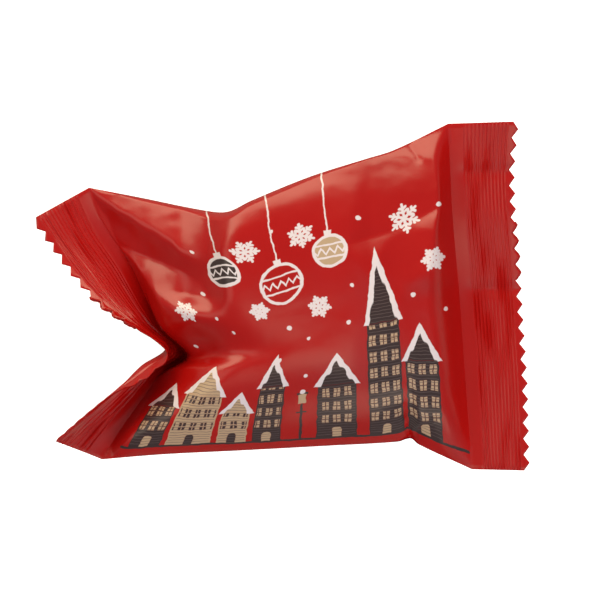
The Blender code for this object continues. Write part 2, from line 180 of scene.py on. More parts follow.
# %% [markdown]
# ## Folds
# A fold in film is a line where the surface is bent.  Each one here is a straight piece with a
# height and a width, and fades past its two ends.  Soft folds have a round crest.  Hard ones
# come to an edge, as film does once it has been creased.

# %% Folds of the front
SOFT, HARD = 2.0, 1.15
FRONT_FOLDS = [
    (-14.3, 14.5, -13.6, -6.5, -0.35, 2.4, SOFT), (24.5, -27.8, 22.7, -21.8, -1.1, 0.75, HARD),
    (23.6, 29.0, 25.6, 26.0, -0.35, 0.5, HARD), (20.0, 15.0, 31.0, 13.0, -0.1, 2.2, SOFT),
    (21.5, 1.0, 32.5, 0.0, -0.3, 2.2, SOFT), (22.0, -15.0, 33.5, -17.5, -0.4, 2.4, SOFT),
    (-22.0, -14.5, -33.0, -28.5, 0.7, 2.4, SOFT), (22.6, -27.0, 21.0, -20.0, -0.5, 2.2, SOFT),
]
BACK_FOLDS = [
    (-34.0, 17.5, -18.0, 8.0, 1.8, 3.0, SOFT), (-30.0, 3.0, -16.0, 0.0, -1.3, 3.0, SOFT),
    (-17.0, -12.0, -4.0, -9.0, -1.5, 3.2, SOFT), (-32.0, -27.0, -17.0, -19.0, 1.6, 3.0, SOFT),
    (21.0, 24.0, 30.5, 27.5, 1.4, 2.2, SOFT), (19.0, 14.0, 31.5, 16.5, -1.2, 2.6, SOFT),
    (20.0, -16.0, 33.0, -13.5, -1.2, 2.6, SOFT), (23.0, -24.5, 35.0, -30.0, 1.4, 2.2, SOFT),
]


def fold_height(folds, x, y):
    """All folds together over a field of places."""
    total = np.zeros_like(x)
    for x0, y0, x1, y1, height, half, power in folds:
        dx, dy = x1 - x0, y1 - y0
        size = math.hypot(dx, dy)
        f = ((x - x0) * dx + (y - y0) * dy) / size**2
        away = np.abs((x - x0) * dy - (y - y0) * dx) / size
        past = np.maximum(0.0, np.maximum(-f, f - 1.0)) * size
        total += height * np.exp(-((away / half) ** power) - (past / (1.4 * half)) ** 2)
    return total


print(len(FRONT_FOLDS), "front folds,", len(BACK_FOLDS), "back folds")


# %% [markdown]
# ## The fins
# Two films are pressed together between ribbed jaws, so a fin is a thin plate with fine ribs
# along it, and a zigzag knife cuts its outer edge.  The left fin was pushed in at its middle:
# above the bend it lies nearly flat, below it it stands up and its margin curls over.

# %% Fins
def left_fin(share, width):
    seam, tips = along(LEFT_SEAM, share), along(LEFT_TIPS, share)
    curl = 1.0 - step(NOTCH, 0.60, share)
    reach = 1.0 - (1.0 - width) ** (1.0 + 0.9 * curl)
    p = seam + (tips - seam) * reach[..., None]
    p[..., 2] = seam[..., 2] + (tips - seam)[..., 2] * width ** (1.0 + 0.4 * curl)
    lip = step(0.72, 1.0, width) * hill(0.39, 0.075, share)
    return p + lip[..., None] * np.array([1.7, -2.0, -0.3])


def right_fin(share, width):
    seam, tips = along(RIGHT_SEAM, share), along(RIGHT_TIPS, share)
    p = seam + (tips - seam) * width[..., None]
    crease = 0.45 * hill(0.52, 0.02, share) + 0.30 * hill(0.86, 0.02, share)
    p[..., 2] -= crease * step(0.0, 0.4, width)
    return p


def zigzag(share):
    """How far the cut edge is drawn in from the line of the tooth tips."""
    return TOOTH_DEPTH * np.abs(2.0 * ((share * TEETH) % 1.0) - 1.0)


def ripple(seed, a, b, count, short, long):
    """Smooth irregular waves over two directions, between -1 and 1 or so."""
    dice = np.random.default_rng(seed)
    total = np.zeros(np.broadcast(a, b).shape)
    for _ in range(count):
        turn, size = dice.uniform(0, 2 * math.pi), dice.uniform(short, long)
        phase = dice.uniform(0, 2 * math.pi)
        total += np.sin(2 * math.pi * (a * math.cos(turn) + b * math.sin(turn)) / size + phase)
    return total / math.sqrt(count)


RIBS = 12
RIB_START, RIB_END = 0.20, 0.86


def rib_height(share, width, seed, deep):
    """Crimp ribs, pressed harder in some places than in others; deep: of every second one."""
    place = (width - RIB_START) / (RIB_END - RIB_START)
    stray = 0.10 * ripple(seed + 5, share * 66.0, width * 4.0, 4, 20.0, 60.0)
    wave = np.cos(2 * math.pi * (RIBS * place + stray))
    wave = wave + deep * np.cos(math.pi * (RIBS * place + stray))
    band = step(-0.04, 0.05, place) * step(-0.04, 0.05, 1.0 - place)
    press = 0.75 + 0.35 * ripple(seed, share * 66.0, width * 60.0, 6, 9.0, 40.0)
    return 0.11 * wave * band * np.clip(press, 0.35, 1.3)


def fin_surface(middle, side, share, width, seed):
    """Front and back of a fin over a field of places."""
    reach = np.linalg.norm(middle(share, np.ones_like(width)) - middle(share, 0 * width), axis=-1)
    cut = zigzag(share) / reach * step(0.82, 1.0, width)
    w = width - cut
    p = middle(share, w)
    e = 0.004
    run = middle(np.minimum(share + e, 1), w) - middle(np.maximum(share - e, 0), w)
    far = np.maximum(w, 0.04)
    out = middle(share, far) - middle(share, far - 0.04)
    normal = side * np.cross(out, run)
    normal /= np.linalg.norm(normal, axis=-1)[..., None]
    wave = 0.06 * ripple(seed + 1, share * 66.0, width * 13.0, 6, 12.0, 40.0) * step(0, 0.3, width)
    deep = (0.6 + 0.9 * step(0.55, 0.35, share)) if side < 0 else 0.15
    lift = rib_height(share, width, seed, deep) + wave
    edge = np.minimum(step(0, 0.012, 1.0 - width), np.minimum(step(0, 0.004, share),
                                                              step(0, 0.004, 1.0 - share)))
    half = FIN_HALF * edge
    return p + normal * (lift + half)[..., None], p + normal * (lift - half)[..., None]


# %% [markdown]
# ## The tube
# Between the seams the tube is blended from its four edges, then pushed out to the front and
# the back.  Its section is pointed at the seams, where the jaws pinch it, and full in the
# middle.  Folds die out where the tube is too thin to hold them.

# %% Tube
def tube_middle(u, share):
    left, right = along(LEFT_SEAM, share), along(RIGHT_SEAM, share)
    low, top = edge_points(BOTTOM_EDGE, u), edge_points(TOP_EDGE, u)
    u3, s3 = u[..., None], share[..., None]
    zero, one = np.zeros(1), np.ones(1)
    low_l, low_r = edge_points(BOTTOM_EDGE, zero)[0], edge_points(BOTTOM_EDGE, one)[0]
    top_l, top_r = edge_points(TOP_EDGE, zero)[0], edge_points(TOP_EDGE, one)[0]
    corners = (low_l * (1 - u3) + low_r * u3) * (1 - s3) + (top_l * (1 - u3) + top_r * u3) * s3
    chord = low_l * (1 - s3) + top_l * s3
    p = chord * (1 - u3) + right * u3 + low * (1 - s3) + top * s3 - corners
    p += (left - chord) * (1 - u3) ** 2.2
    p[..., 2] = left[..., 2] * (1 - u) ** 3 + right[..., 2] * u**3
    return p


def lower_of(a, b, bend):
    """The lower of two surfaces, with the ridge between them rounded."""
    near = np.maximum(bend - np.abs(a - b), 0.0) / bend
    return np.minimum(a, b) - near * near * bend / 4.0


def higher_of(a, b, bend):
    return -lower_of(-a, -b, bend)


def edge_lift(x, share):
    """How far the upper and the lower edge of the tube lie above the seams."""
    return (along(TOP_LIFT, x)[..., 0] * share**5 + along(BOTTOM_LIFT, x)[..., 0] * (1 - share) ** 5)


def top_side(x, y):
    away = (along(TOP_EDGE, x)[..., 0] - y) * 0.93
    wall = along(TOP_WALL, x)[..., 0]
    lift = along(TOP_LIFT, x)[..., 0]
    facet = wall + along(TOP_SLOPE, x)[..., 0] * away
    facet -= 0.0148 * np.minimum(away, 14.0) ** 2
    down = 24.9 - y
    shoulder = 6.3 + 0.285 * down + 0.004 * np.maximum(down - 12.0, 0.0) ** 2
    shoulder += higher_of(0.5 * (22.0 - x), 0.08 * (22.0 - x), 1.5)
    facet = lower_of(facet, shoulder, 0.3)
    return lower_of(lift + 4.0 * away, facet, 0.05 + 0.8 * (wall - lift))


def bottom_side(x, y):
    away = np.clip((y - along(BOTTOM_EDGE, x)[..., 0]) / 25.0, 0.0, 1.0)
    lift = along(BOTTOM_LIFT, x)[..., 0]
    full = 15.9 * along(BOTTOM_FULL, x)[..., 0] - lift
    round_side = lift + full * (1.0 - (1.0 - away) ** 2) ** 0.9
    past = np.maximum(0.86 * (y + 26.2) - 0.51 * (x - 24.1), 0.79 * (x - 29.5) + 0.61 * (y + 23.0))
    flap = lift + 15.5 * away + 1.6 * np.maximum(past, 0.0)
    return lower_of(round_side, flap, 0.3)


def right_side(away, share):
    wall = along(RIGHT_WALL, share)[..., 0]
    slope = wall + 0.20 * away + 0.030 * away**2
    return lower_of((0.45 + wall / 3.6) * away, slope, 0.5 + 0.45 * wall)


def left_side(x, y, away, share):
    facet = 0.8 * ((x + 36.8) * 0.888 + (y - 20.6) * 0.46)
    facet += 0.16 * ripple(44, x, y, 5, 3.5, 9.0)
    nose = hill(NOTCH, 0.09, share)
    over = step(NOTCH, NOTCH + 0.12, share)
    rise = along(LEFT_RISE, away)[..., 0] * (1 - over) + along(BULGE_RISE, away)[..., 0] * over
    rise = rise * (1 - nose) + along(NOSE_RISE, away)[..., 0] * nose
    south = along(RIM, x)[..., 0] - y
    bulge = lower_of(rise, facet + 0.85 * south, 0.8)
    body = 9.0 + 0.95 * (x + 16.5)
    upper = higher_of(higher_of(facet, bulge, 0.25), body, 1.6)
    share_up = step(0.56, 0.66, share)
    return rise * (1 - share_up) + upper * share_up


def front_height(x, y, u, share, width):
    face = 15.4 - 0.0026 * (x - 2.0) ** 2 - 0.0062 * (y + 2.0) ** 2
    ends = lower_of(top_side(x, y), left_side(x, y, u * width, share), 0.7)
    ends = lower_of(ends, right_side((1.0 - u) * width, share), 0.6)
    ends = lower_of(ends, bottom_side(x, y), 0.8 + 4.2 * step(-10.0, -22.0, x))
    lift = edge_lift(x, share)
    return np.maximum(lower_of(ends, face, 1.0 + 3.0 * step(12.0, 20.0, x)), lift)


def section(share, u):
    full = step(0.0, 0.30, u) * step(0.0, 0.28, 1.0 - u)
    v = np.abs(2.0 * share - 1.0)
    power = 2.0 + (1.1 + (share < 0.5)) * full
    return np.maximum(0.0, 1.0 - v**power) ** (1.0 - 0.54 * full)


def crinkle(x, y, near):
    """Small uneven waves of the film, stronger where near is 1 than where it is 0."""
    soft = (0.02 + 0.075 * near) * ripple(41, x, y, 10, 4.5, 14.0)
    fine = (0.004 + 0.016 * near) * ripple(42, x, y, 12, 1.9, 4.0)
    kink = ripple(43, x, y, 6, 9.0, 26.0)
    crease = 0.12 * near**2 * np.exp(-np.abs(kink) / 0.28)
    return soft + fine + crease


def panel(bulge, folds, p):
    return bulge + step(0.0, 3.5, bulge) * fold_height(folds, p[..., 0], p[..., 1])


def tube_surface(u, share):
    """Front and back of the tube over a field of places."""
    p = tube_middle(u, share)
    x, y = p[..., 0], p[..., 1]
    width = (along(RIGHT_SEAM, share) - along(LEFT_SEAM, share))[..., 0]
    bulge = front_height(x, y, u, share, width)
    height = panel(bulge, FRONT_FOLDS, p)
    left, right = u * width, (1.0 - u) * width
    top = along(TOP_EDGE, x)[..., 0] - y
    near = np.clip(np.exp(-left / 9.0) + np.exp(-right / 7.0) + 0.7 * np.exp(-top / 5.0), 0, 1)
    height += step(0.0, 2.0, height - edge_lift(x, share)) * crinkle(x, y, near)
    hang = 1.5 * hill(0.55, 0.09, share) * hill(0.055, 0.05, u) * step(0, 0.03, u)
    front = p + np.stack([-0.8 * hang, -0.6 * hang, FIN_HALF + height], axis=-1)

    bulge = BACK_BULGE * along(BACK_RISE, u)[..., 0] * section(share, u)
    depth = panel(bulge, BACK_FOLDS, p)
    lift = edge_lift(x, share)
    back = p - np.stack([0 * u, 0 * u, FIN_HALF + depth - lift], axis=-1)
    rim = np.minimum(step(0, 0.004, share), step(0, 0.004, 1.0 - share))
    front[..., 2] -= FIN_HALF * (1 - rim)
    back[..., 2] += FIN_HALF * (1 - rim)
    return front, back


# %% [markdown]
# ## Laying the film
# The film starts as what it really is: a flat grid.  Its points are then moved to where the
# wrapped pack has them, once for the front and once for the back, and the two sheets are
# joined along their rims into one closed skin.  The flat place of each point is kept as the
# UV map, one unit for 200 mm, so print laid on the flat film bends with every fold.

# %% Where the columns and rows of the grid go
FIN_WIDTHS = np.concatenate([np.linspace(0.0, RIB_START, 5)[:-1],
                             np.linspace(RIB_START, RIB_END, 6 * RIBS + 1)[:-1],
                             np.linspace(RIB_END, 1.0, 7)])
FIN_COLUMNS, TUBE_COLUMNS, ROWS = len(FIN_WIDTHS) - 1, 190, 132
COLUMNS = 2 * FIN_COLUMNS + TUBE_COLUMNS


def film_fields():
    """Front and back places in millimetres, and the flat film place of every grid point."""
    share = np.linspace(0.0, 1.0, ROWS + 1)
    width = FIN_WIDTHS
    even = np.linspace(0.0, 1.0, TUBE_COLUMNS + 1)
    u = 0.7 * even + 0.3 * (0.5 - 0.5 * np.cos(math.pi * even))
    w2, s2 = np.meshgrid(width[::-1], share, indexing="ij")
    lf, lb = fin_surface(left_fin, -1.0, s2, w2, 21)
    u2, s2 = np.meshgrid(u, share, indexing="ij")
    rounded = 0.75 * step(0.0, 0.25, u2) * step(0.0, 0.2, 1.0 - u2)
    s2 = s2 + rounded * (0.5 - 0.5 * np.cos(math.pi * s2) - s2)
    tf, tb = tube_surface(u2, s2)
    w2, s2 = np.meshgrid(width, share, indexing="ij")
    rf, rb = fin_surface(right_fin, 1.0, s2, w2, 31)
    front = np.concatenate([lf[:-1], lf[-1:], tf[1:-1], rf[:1], rf[1:]])
    back = np.concatenate([lb[:-1], lb[-1:], tb[1:-1], rb[:1], rb[1:]])
    flat_x = np.concatenate([FIN_REACH * (1 - width[::-1]), FIN_REACH + TUBE_RUN * u[1:-1],
                             FIN_REACH + TUBE_RUN + FIN_REACH * width])
    return front, back, flat_x


def flat_height(sheet):
    """Height on the flat film: the length along each row, stretched to the film's height."""
    run = np.linalg.norm(np.diff(sheet, axis=1), axis=-1)
    total = np.concatenate([np.zeros((len(sheet), 1)), np.cumsum(run, axis=1)], axis=1)
    return FILM_HEIGHT * total / total[:, -1:]


front_mm, back_mm, flat_x = film_fields()
REST_LEVEL = -14.45          # the back is pressed flat where it lies
back_mm[..., 2] = np.maximum(back_mm[..., 2], REST_LEVEL)
print("front sheet", front_mm.shape, "top of the bulge", round(front_mm[..., 2].max(), 1), "mm")


# %% Lay the two sheets and join them
def lay_sheet(name, places, strip):
    """A flat grid whose points go to their places; strip is its row on the UV map."""
    clear_selection()
    bpy.ops.mesh.primitive_grid_add(x_subdivisions=COLUMNS, y_subdivisions=ROWS, size=1.0)
    sheet = bpy.context.object
    sheet.name = name
    mesh = sheet.data
    flat = np.empty(len(mesh.vertices) * 3)
    mesh.vertices.foreach_get("co", flat)
    flat = flat.reshape(-1, 3)
    i = np.rint((flat[:, 0] + 0.5) * COLUMNS).astype(int)
    j = np.rint((flat[:, 1] + 0.5) * ROWS).astype(int)
    mesh.vertices.foreach_set("co", (places[i, j] * MM).ravel())
    uv = np.stack([flat_x[i], strip + flat_height(places)[i, j]], axis=-1) / 200.0
    corner = np.empty(len(mesh.loops), dtype=int)
    mesh.loops.foreach_get("vertex_index", corner)
    mesh.uv_layers.active.data.foreach_set("uv", uv[corner].ravel())
    mesh.update()
    return sheet


middle = (np.array(solid_low) + np.array(solid_high)) / 2 / MM
both = np.concatenate([front_mm.reshape(-1, 3), back_mm.reshape(-1, 3)])
own = (both.min(axis=0) + both.max(axis=0)) / 2
shift = np.array([middle[0] - own[0], middle[1] - own[1], MIDDLE_PLANE / MM])
front_sheet = lay_sheet("front_film", front_mm + shift, 0.0)
back_sheet = lay_sheet("back_film", back_mm + shift, 100.0)
pick(back_sheet, front_sheet)
bpy.ops.object.join()
film = bpy.context.object
film.name = "film_pack"
bpy.ops.object.mode_set(mode="EDIT")
bpy.ops.mesh.select_all(action="SELECT")
bpy.ops.mesh.remove_doubles(threshold=0.000004)
bpy.ops.mesh.normals_make_consistent(inside=False)
bpy.ops.object.mode_set(mode="OBJECT")
bpy.ops.object.shade_smooth_by_angle(angle=math.radians(50))
print("film", len(film.data.vertices), "points,", len(film.data.polygons), "faces, shift", shift)
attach(film, "root")
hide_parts("wrapper")

# %% [markdown]
# ## Helpers for drawing with nodes
# The print is drawn on the flat film, where every place is a point in millimetres.  Each motif
# is written as a distance: below 0 inside the shape, above 0 outside.  Distances are handy,
# because the lower of two is both shapes together, and the higher is what they share.

# %% Node helpers
def feed(tree, socket, value):
    """Link a socket, or set its number."""
    if isinstance(value, bpy.types.NodeSocket):
        tree.links.new(value, socket)
    else:
        socket.default_value = value


def maths(tree, operation, *values, clamp=False):
    node = tree.nodes.new("ShaderNodeMath")
    node.operation, node.use_clamp = operation, clamp
    for socket, value in zip(node.inputs, values):
        feed(tree, socket, value)
    return node.outputs[0]


def arrows(tree, operation, *values):
    node = tree.nodes.new("ShaderNodeVectorMath")
    node.operation = operation
    for socket, value in zip(node.inputs, values):
        feed(tree, socket, value)
    return node.outputs["Value" if operation in ("LENGTH", "DOT_PRODUCT") else "Vector"]


def split(tree, point):
    node = tree.nodes.new("ShaderNodeSeparateXYZ")
    feed(tree, node.inputs[0], point)
    return node.outputs["X"], node.outputs["Y"]


def joined(tree, x, y):
    node = tree.nodes.new("ShaderNodeCombineXYZ")
    feed(tree, node.inputs["X"], x)
    feed(tree, node.inputs["Y"], y)
    return node.outputs[0]


def lowest(tree, *values):
    """Several shapes together: the lowest of their distances."""
    total = values[0]
    for value in values[1:]:
        total = maths(tree, "MINIMUM", total, value)
    return total


def new_group(name, takes, gives):
    """An empty group with named sockets: a V before the name marks a vector."""
    tree = bpy.data.node_groups.new(name, "ShaderNodeTree")
    for way, labels in (("INPUT", takes), ("OUTPUT", gives)):
        for label in labels:
            kind = "NodeSocketVector" if label.startswith("V ") else "NodeSocketFloat"
            tree.interface.new_socket(label.removeprefix("V "), in_out=way, socket_type=kind)
    return tree, tree.nodes.new("NodeGroupInput").outputs, tree.nodes.new("NodeGroupOutput").inputs


def use(tree, group, **values):
    """Place a group in a tree; underscores in a name stand for spaces."""
    node = tree.nodes.new("ShaderNodeGroup")
    node.node_tree = group
    for label, value in values.items():
        feed(tree, node.inputs[label.replace("_", " ")], value)
    return node.outputs


# %% [markdown]
# ## Three plain shapes
# A disc, a box and a pen stroke are enough to build every motif from.  Each is one small group,
# so that the motifs that follow stay short and easy to read.

# %% Disc, box and stroke
disc, given, out = new_group("disc", ["V Point", "V Centre", "Radius"], ["Distance"])
away = arrows(disc, "LENGTH", arrows(disc, "SUBTRACT", given["Point"], given["Centre"]))
feed(disc, out["Distance"], maths(disc, "SUBTRACT", away, given["Radius"]))

box, given, out = new_group("box", ["V Point", "V Centre", "V Half"], ["Distance"])
away = arrows(box, "ABSOLUTE", arrows(box, "SUBTRACT", given["Point"], given["Centre"]))
x, y = split(box, arrows(box, "SUBTRACT", away, given["Half"]))
feed(box, out["Distance"], maths(box, "MAXIMUM", x, y))

stroke, given, out = new_group("stroke", ["V Point", "V From", "V Way", "Pen"], ["Distance"])
off = arrows(stroke, "SUBTRACT", given["Point"], given["From"])
size = arrows(stroke, "DOT_PRODUCT", given["Way"], given["Way"])
part = maths(stroke, "DIVIDE", arrows(stroke, "DOT_PRODUCT", off, given["Way"]), size, clamp=True)
foot = stroke.nodes.new("ShaderNodeVectorMath")
foot.operation = "SCALE"
feed(stroke, foot.inputs["Vector"], given["Way"])
feed(stroke, foot.inputs["Scale"], part)
away = arrows(stroke, "LENGTH", arrows(stroke, "SUBTRACT", off, foot.outputs["Vector"]))
feed(stroke, out["Distance"], maths(stroke, "SUBTRACT", away, given["Pen"]))
print("plain shapes:", disc.name, box.name, stroke.name)

# %% [markdown]
# ## Snow flake
# A six-armed flake has one twelfth that is repeated by mirrors.  The angle round its centre is
# folded into that twelfth, so one arm with two side twigs draws the whole flake.

# %% Flake
flake, given, out = new_group("flake", ["V Point", "V Centre", "Size", "Turn", "Pen"], ["Distance"])
x, y = split(flake, arrows(flake, "SUBTRACT", given["Point"], given["Centre"]))
angle = maths(flake, "ADD", maths(flake, "ARCTAN2", y, x), given["Turn"])
sector = maths(flake, "FRACT", maths(flake, "MULTIPLY_ADD", angle, 3.0 / math.pi, 6.5))
angle = maths(flake, "ABSOLUTE", maths(flake, "MULTIPLY", maths(flake, "SUBTRACT", sector, 0.5), math.pi / 3))
far = arrows(flake, "LENGTH", joined(flake, x, y))
far = maths(flake, "DIVIDE", far, given["Size"])
folded = joined(flake, maths(flake, "MULTIPLY", far, maths(flake, "COSINE", angle)),
                maths(flake, "MULTIPLY", far, maths(flake, "SINE", angle)))
arm = use(flake, stroke, Point=folded, From=(0, 0, 0), Way=(1, 0, 0), Pen=0.0)
inner = use(flake, stroke, Point=folded, From=(0.38, 0, 0), Way=(0.17, 0.29, 0), Pen=0.0)
outer = use(flake, stroke, Point=folded, From=(0.66, 0, 0), Way=(0.12, 0.20, 0), Pen=0.0)
thin = lowest(flake, arm["Distance"], inner["Distance"], outer["Distance"])
thin = maths(flake, "SUBTRACT", maths(flake, "MULTIPLY", thin, given["Size"]), given["Pen"])
feed(flake, out["Distance"], thin)
print("flake:", len(flake.nodes), "nodes")

# %% [markdown]
# ## Hanging bauble
# A glass ball on a thread: a round outline, a cap, and a belt with a zigzag between two lines.
# The ball and the white line work come out apart, so that each ball can have its own fill.

# %% Bauble
bauble, given, out = new_group("bauble", ["V Point", "V Centre", "Radius"], ["Ball", "Lines"])
place = arrows(bauble, "SUBTRACT", given["Point"], given["Centre"])
x, y = split(bauble, place)
radius = given["Radius"]
ball = maths(bauble, "SUBTRACT", arrows(bauble, "LENGTH", place), radius)
ring = maths(bauble, "SUBTRACT", maths(bauble, "ABSOLUTE", ball), 0.34)
belt_edge = maths(bauble, "MULTIPLY", radius, 0.42)
rails = maths(bauble, "ABSOLUTE", maths(bauble, "SUBTRACT", maths(bauble, "ABSOLUTE", y), belt_edge))
rails = maths(bauble, "SUBTRACT", rails, 0.20)
saw = maths(bauble, "ABSOLUTE", maths(bauble, "SUBTRACT",
                                      maths(bauble, "FRACT", maths(bauble, "DIVIDE", x, 1.7)), 0.5))
saw = maths(bauble, "MULTIPLY_ADD", saw, 2.6, -0.65)
zigzag_line = maths(bauble, "SUBTRACT", maths(bauble, "ABSOLUTE", maths(bauble, "SUBTRACT", y, saw)), 0.30)
pattern = maths(bauble, "MAXIMUM", lowest(bauble, rails, zigzag_line), ball)
cap_y = maths(bauble, "ADD", radius, 0.75)
cap = use(bauble, box, Point=place, Centre=joined(bauble, 0.0, cap_y), Half=(0.75, 0.55, 9))
thread = maths(bauble, "MAXIMUM", maths(bauble, "SUBTRACT", maths(bauble, "ABSOLUTE", x), 0.15),
               maths(bauble, "SUBTRACT", radius, y))
feed(bauble, out["Ball"], ball)
feed(bauble, out["Lines"], lowest(bauble, ring, pattern, cap["Distance"], thread))
print("bauble:", len(bauble.nodes), "nodes")

# %% [markdown]
# ## House
# Every house is the same drawing at other sizes: walls, a pointed roof that overhangs a little,
# snow lying on it with a wavy lower edge, rows of windows with cross bars, and a door.  Fine
# courses on the walls are a third tone, as in a cut print.

# %% House
house, given, out = new_group("house", ["V Point", "V Foot", "Half", "Wall", "Roof"],
                              ["Body", "Snow", "Openings", "Courses"])
place = arrows(house, "SUBTRACT", given["Point"], given["Foot"])
x, y = split(house, place)
side = maths(house, "ABSOLUTE", x)
half, wall, roof = given["Half"], given["Wall"], given["Roof"]
walls = maths(house, "MAXIMUM", maths(house, "SUBTRACT", side, half),
              maths(house, "MAXIMUM", maths(house, "SUBTRACT", y, wall),
                    maths(house, "MULTIPLY", y, -1.0)))
eave = maths(house, "ADD", half, 0.6)
above = maths(house, "SUBTRACT", y, wall)
slant = arrows(house, "LENGTH", joined(house, eave, roof))
pitch = maths(house, "ADD", maths(house, "MULTIPLY", side, roof),
              maths(house, "MULTIPLY", maths(house, "SUBTRACT", above, roof), eave))
pitch = maths(house, "DIVIDE", pitch, slant)
under = maths(house, "MULTIPLY", above, -1.0)
gable = maths(house, "MAXIMUM", pitch, under)
wavy = maths(house, "SINE", maths(house, "MULTIPLY", x, 3.4))
depth = maths(house, "MULTIPLY_ADD", wavy, 0.22, 1.0)
snow = maths(house, "MAXIMUM", pitch, maths(house, "SUBTRACT", maths(house, "MULTIPLY", pitch, -1.0), depth))
snow = maths(house, "MAXIMUM", snow, maths(house, "SUBTRACT", under, 0.35))
body = lowest(house, walls, gable)
cell_x = maths(house, "SUBTRACT", maths(house, "FRACT", maths(house, "MULTIPLY_ADD", x, 1 / 2.2, 0.5)), 0.5)
cell_y = maths(house, "SUBTRACT", maths(house, "FRACT", maths(house, "MULTIPLY_ADD", y, 1 / 3.5, 0.0)), 0.5)
cell_x = maths(house, "MULTIPLY", maths(house, "ABSOLUTE", cell_x), 2.2)
cell_y = maths(house, "MULTIPLY", maths(house, "ABSOLUTE", cell_y), 3.5)
panes = maths(house, "MAXIMUM", maths(house, "SUBTRACT", cell_x, 0.66), maths(house, "SUBTRACT", cell_y, 1.05))
bars = lowest(house, maths(house, "SUBTRACT", cell_x, 0.10), maths(house, "SUBTRACT", cell_y, 0.10))
panes = maths(house, "MAXIMUM", panes, maths(house, "MULTIPLY", bars, -1.0))
inset = maths(house, "MAXIMUM", maths(house, "ADD", maths(house, "SUBTRACT", side, half), 0.35),
              maths(house, "MAXIMUM", maths(house, "SUBTRACT", 3.6, y),
                    maths(house, "ADD", maths(house, "SUBTRACT", y, wall), 0.3)))
panes = maths(house, "MAXIMUM", panes, inset)
door = use(house, box, Point=place, Centre=(0, 1.05, 0), Half=(0.85, 1.05, 9))["Distance"]
arch = use(house, disc, Point=place, Centre=(0, 2.1, 0), Radius=0.85)["Distance"]
feed(house, out["Body"], body)
feed(house, out["Snow"], snow)
feed(house, out["Openings"], lowest(house, panes, door, arch))
course = maths(house, "ABSOLUTE", maths(house, "SUBTRACT", maths(house, "FRACT", maths(house, "DIVIDE", y, 0.72)), 0.5))
course = maths(house, "SUBTRACT", 0.42, course)
feed(house, out["Courses"], maths(house, "MAXIMUM", maths(house, "MULTIPLY", course, 0.72), maths(house, "ADD", body, 0.25)))
print("house:", len(house.nodes), "nodes")

# %% [markdown]
# ## The print
# A winter street runs along the lower edge, baubles hang from the upper edge, and flakes and
# dots fall between them.  The houses are slate or tan, with windows of the other colour.  All
# ink comes out of one group as a colour, so the film's own finish stays free of it.

# %% Layout of the print, in millimetres on the flat film
SLATE_HOUSES = [(20.0, 3.2, 10.0, 5.4), (43.8, 2.8, 15.5, 7.8), (57.4, 3.9, 14.2, 7.2),
                (67.0, 3.3, 26.4, 16.0), (74.4, 3.3, 17.6, 7.6)]
TAN_HOUSES = [(28.6, 4.4, 13.4, 7.0), (37.0, 2.9, 9.0, 5.2)]
STREET = 3.4
BAUBLES = [(36.0, 47.2, 3.4), (47.4, 42.6, 4.3), (58.2, 46.8, 3.3)]
FLAKES = [(41.8, 52.0, 2.7, 0.2), (53.0, 51.6, 2.6, 0.5), (41.6, 37.8, 2.0, 0.0),
          (54.2, 35.4, 2.3, 0.3), (23.6, 37.6, 2.5, 0.1), (73.4, 50.2, 3.0, 0.4),
          (78.2, 40.6, 2.2, 0.0), (30.0, 118.0, 3.0, 0.2), (60.0, 152.0, 3.4, 0.5),
          (74.0, 113.0, 2.6, 0.0), (44.0, 149.0, 2.4, 0.3)]
DOTS = [(29.4, 42.6, 0.50), (30.8, 36.2, 0.42), (19.8, 28.6, 0.45), (46.6, 32.4, 0.50),
        (50.6, 29.0, 0.42), (44.6, 25.0, 0.50), (50.8, 20.4, 0.45), (59.8, 31.0, 0.50),
        (33.2, 32.6, 0.42), (64.4, 52.6, 0.50), (47.6, 54.8, 0.42), (30.6, 52.6, 0.45),
        (73.6, 34.4, 0.50), (80.0, 30.6, 0.42), (80.2, 50.8, 0.50),
        (61.6, 38.6, 0.42)]


# %% Ink: distances to colours
ink, given, out = new_group("winter_print", ["V Point"], ["Slate", "Tan", "White", "Light slate"])
hand = ink.nodes.new("ShaderNodeTexNoise")
hand.inputs["Scale"].default_value = 0.45
hand.inputs["Detail"].default_value = 2.0
feed(ink, hand.inputs["Vector"], given["Point"])
sway = arrows(ink, "MULTIPLY_ADD", hand.outputs["Color"], (0.7, 0.7, 0.0), (-0.35, -0.35, 0.0))
pen_place = arrows(ink, "ADD", given["Point"], sway)


def row_of_houses(rows):
    """All houses of one colour, and what is drawn on them."""
    parts = {"Body": [], "Snow": [], "Openings": [], "Courses": []}
    for mid, half, wall, roof in rows:
        made = use(ink, house, Point=pen_place, Foot=(mid, STREET, 0), Half=half, Wall=wall, Roof=roof)
        for label in parts:
            parts[label].append(made[label])
    return {label: lowest(ink, *values) for label, values in parts.items()}


def inked(distance):
    """1 inside a shape, 0 outside, with an edge as sharp as print."""
    return maths(ink, "MULTIPLY_ADD", distance, -9.0, 0.5, clamp=True)


def less(mask, other):
    """A mask without what another one covers."""
    return maths(ink, "MULTIPLY", mask, maths(ink, "SUBTRACT", 1.0, other))


slate_row, tan_row = row_of_houses(SLATE_HOUSES), row_of_houses(TAN_HOUSES)
print("houses:", len(SLATE_HOUSES), "slate,", len(TAN_HOUSES), "tan")

